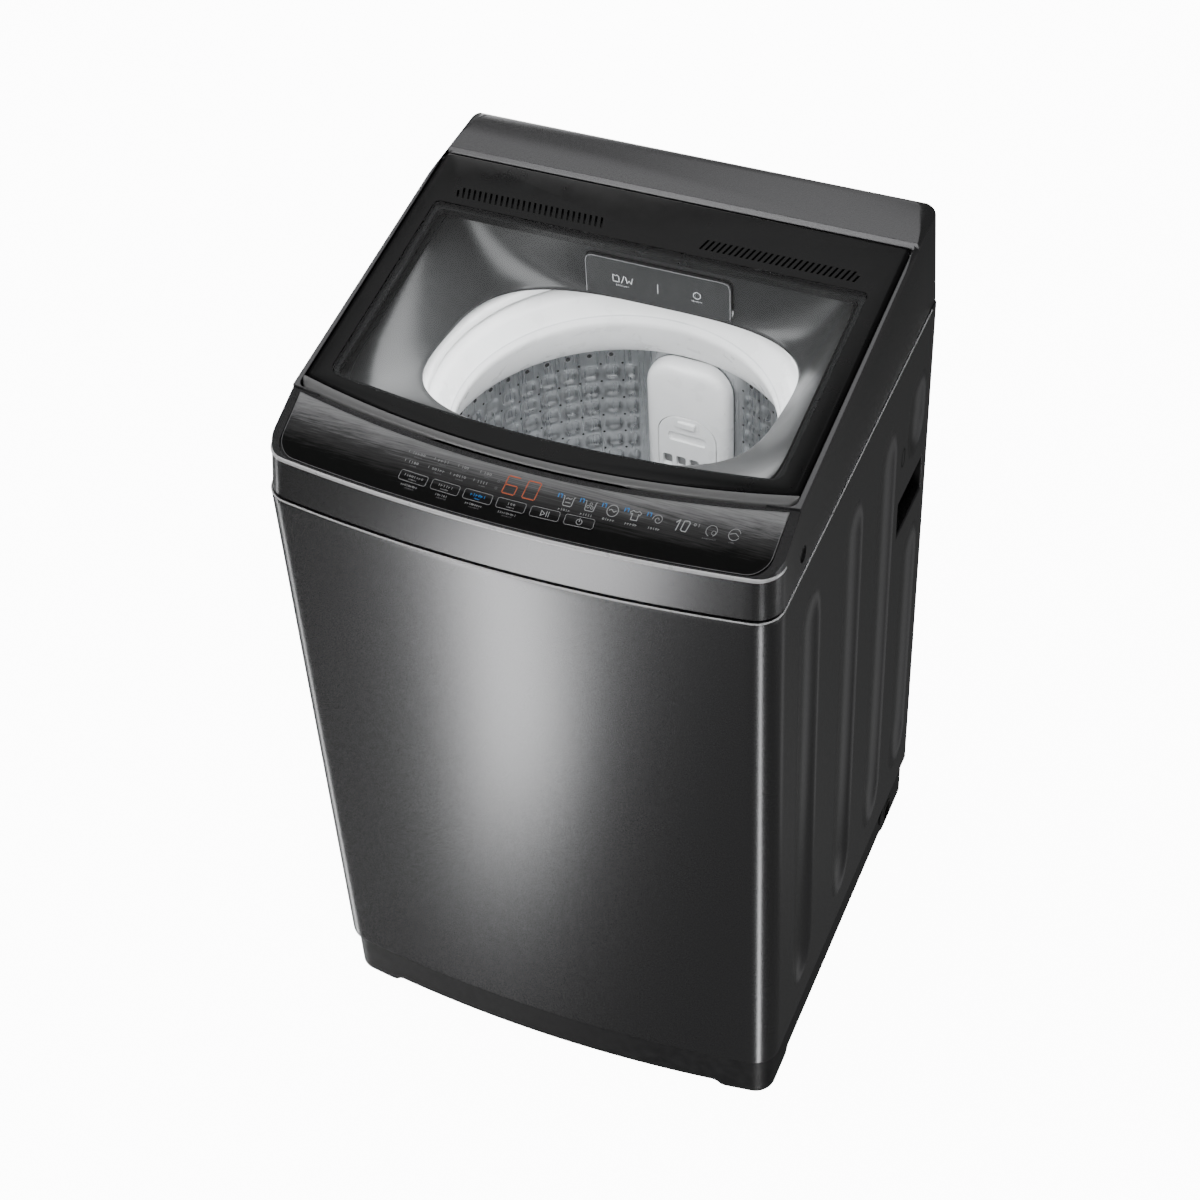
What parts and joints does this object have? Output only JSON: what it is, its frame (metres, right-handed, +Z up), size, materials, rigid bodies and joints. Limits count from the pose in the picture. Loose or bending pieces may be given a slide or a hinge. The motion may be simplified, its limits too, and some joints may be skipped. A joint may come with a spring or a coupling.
{
  "type": "top load washing machine",
  "caption": "Top-loading automatic washing machine with a bowed dark grey cabinet, glass lid, sloped touch panel and a stainless drum in a suspended tub.",
  "frame": {"origin": "on the floor under the middle of the machine's box", "axes": "+Z up, +X to the machine's right seen from the front, +Y to the rear"},
  "size_m": [0.56, 0.543, 0.948],
  "materials": {
    "cabinet_paint": "satin metallic paint",
    "cover_paint": "satin metallic coat on plastic",
    "galvanised": "zinc coated steel",
    "dark_plastic": "fine textured",
    "lid_black": "satin black",
    "panel_black": "brushed look under a clear film",
    "bright_trim": "polished",
    "clear_glass": "clear tempered",
    "deck_grey": "satin",
    "handle_grey": "satin metallic",
    "white_plastic": "moulded",
    "pale_plastic": "moulded",
    "stainless": "bright annealed",
    "cast_aluminium": "as cast",
    "black_rubber": "matte",
    "spring_steel": "drawn wire"
  },
  "bodies": {
    "housing": {"cabinet": "cabinet_paint", "rear_panel": "galvanised", "base_plinth": "dark_plastic", "drain_outlet": "black_rubber", "power_gland": "black_rubber", "carry_handle_left": "dark_plastic", "carry_handle_right": "dark_plastic", "top_cover": "cover_paint", "console_back": "dark_plastic", "chrome_trim": "bright_trim", "control_panel": "panel_black", "control_board": "dark_plastic", "inner_deck": "deck_grey", "dispenser_housing": "white_plastic", "inlet_valve": "white_plastic", "lid_switch": "dark_plastic", "suspension_rod_front_left": "galvanised", "suspension_rod_front_right": "galvanised", "suspension_rod_rear_left": "galvanised", "suspension_rod_rear_right": "galvanised", "suspension_spring_front_left": "spring_steel", "suspension_spring_front_right": "spring_steel", "suspension_spring_rear_left": "spring_steel", "suspension_spring_rear_right": "spring_steel", "drain_hose": "black_rubber"},
    "lid": {"lid_frame": "lid_black", "lid_glass": "clear_glass", "lid_handle": "handle_grey", "lid_pin_left": "stainless", "lid_pin_right": "stainless"},
    "drawer": {"dispenser_drawer": "deck_grey"},
    "left_foot": {"foot_left": "black_rubber"},
    "right_foot": {"foot_right": "black_rubber"},
    "tub": {"outer_tub": "white_plastic", "tub_cover": "white_plastic", "clutch_housing": "cast_aluminium", "support_plate": "galvanised", "motor": "galvanised", "drive_belt": "black_rubber", "drain_valve": "white_plastic", "drain_actuator": "dark_plastic"},
    "drum": {"balance_ring": "white_plastic", "drum_shell": "stainless", "drum_base": "pale_plastic", "spin_shaft": "stainless", "filter_frame": "pale_plastic"},
    "filter_flap": {"filter_door": "pale_plastic"},
    "agitator": {"pulsator": "pale_plastic", "pulsator_cap": "deck_grey", "wash_shaft": "stainless", "drive_pulley": "cast_aluminium"},
    "motor_rotor": {"motor_pulley": "cast_aluminium"},
    "pull_rod": {"drain_pull_rod": "white_plastic"},
    "brake": {"brake_lever": "galvanised"},
    "button_water_temp": {"key_water_temp": "panel_black"},
    "button_program": {"key_program": "panel_black"},
    "button_process": {"key_process": "panel_black"},
    "button_set": {"key_set": "panel_black"},
    "button_start_pause": {"key_start_pause": "panel_black"},
    "button_power": {"key_power": "panel_black"}
  },
  "joints": [
    {"name": "lid_hinge", "type": "hinge", "parent": "housing", "child": "lid", "pos_m": [0, 0.19, 0.93428], "axis": [-1, 0, 0], "range_deg": [0, 88]},
    {"name": "drawer_slide", "type": "slide", "parent": "housing", "child": "drawer", "axis": [0, -1, 0], "range_m": [0, 0.085]},
    {"name": "left_foot_screw", "type": "slide", "parent": "housing", "child": "left_foot", "axis": [0, 0, 1], "range_m": [-0.012, 0]},
    {"name": "right_foot_screw", "type": "slide", "parent": "housing", "child": "right_foot", "axis": [0, 0, 1], "range_m": [-0.012, 0]},
    {"name": "tub_bounce", "type": "slide", "parent": "housing", "child": "tub", "axis": [0, 0, 1], "range_m": [-0.02, 0.006], "stiffness_N_per_m": 8000, "springref_m": 0.03912, "deforming": ["suspension_spring_front_left", "suspension_spring_front_right", "suspension_spring_rear_left", "suspension_spring_rear_right", "drain_hose"]},
    {"name": "drum_spin", "type": "hinge", "parent": "tub", "child": "drum", "pos_m": [0, 0.016, 0.5], "axis": [0, 0, 1], "continuous": true},
    {"name": "agitator_spin", "type": "hinge", "parent": "tub", "child": "agitator", "pos_m": [0, 0.016, 0.3], "axis": [0, 0, 1], "continuous": true},
    {"name": "motor_spin", "type": "hinge", "parent": "tub", "child": "motor_rotor", "pos_m": [-0.118, -0.046, 0.11], "axis": [0, 0, 1], "continuous": true},
    {"name": "filter_flap_hinge", "type": "hinge", "parent": "drum", "child": "filter_flap", "pos_m": [0.00814, 0.20513, 0.4015], "axis": [0.9991, -0.043, 0], "range_deg": [0, 60]},
    {"name": "brake_release", "type": "hinge", "parent": "tub", "child": "brake", "pos_m": [0, 0.089, 0.2095], "axis": [0, 0, 1], "range_deg": [0, 16]},
    {"name": "drain_pull", "type": "slide", "parent": "tub", "child": "pull_rod", "axis": [-1, 0, 0], "range_m": [0, 0.01]},
    {"name": "press_water_temp", "type": "slide", "parent": "housing", "child": "button_water_temp", "axis": [0, 0.395, -0.9187], "range_m": [0, 0.0008], "stiffness_N_per_m": 1500},
    {"name": "press_program", "type": "slide", "parent": "housing", "child": "button_program", "axis": [0, 0.395, -0.9187], "range_m": [0, 0.0008], "stiffness_N_per_m": 1500},
    {"name": "press_process", "type": "slide", "parent": "housing", "child": "button_process", "axis": [0, 0.395, -0.9187], "range_m": [0, 0.0008], "stiffness_N_per_m": 1500},
    {"name": "press_set", "type": "slide", "parent": "housing", "child": "button_set", "axis": [0, 0.395, -0.9187], "range_m": [0, 0.0008], "stiffness_N_per_m": 1500},
    {"name": "press_start_pause", "type": "slide", "parent": "housing", "child": "button_start_pause", "axis": [0, 0.395, -0.9187], "range_m": [0, 0.0008], "stiffness_N_per_m": 1500},
    {"name": "press_power", "type": "slide", "parent": "housing", "child": "button_power", "axis": [0, 0.395, -0.9187], "range_m": [0, 0.0008], "stiffness_N_per_m": 1500}
  ],
  "couplings": [
    {"joint": "motor_spin", "follows": "agitator_spin", "ratio": 3.266},
    {"joint": "drain_pull", "follows": "brake_release", "m_per_rad": 0.035}
  ]
}
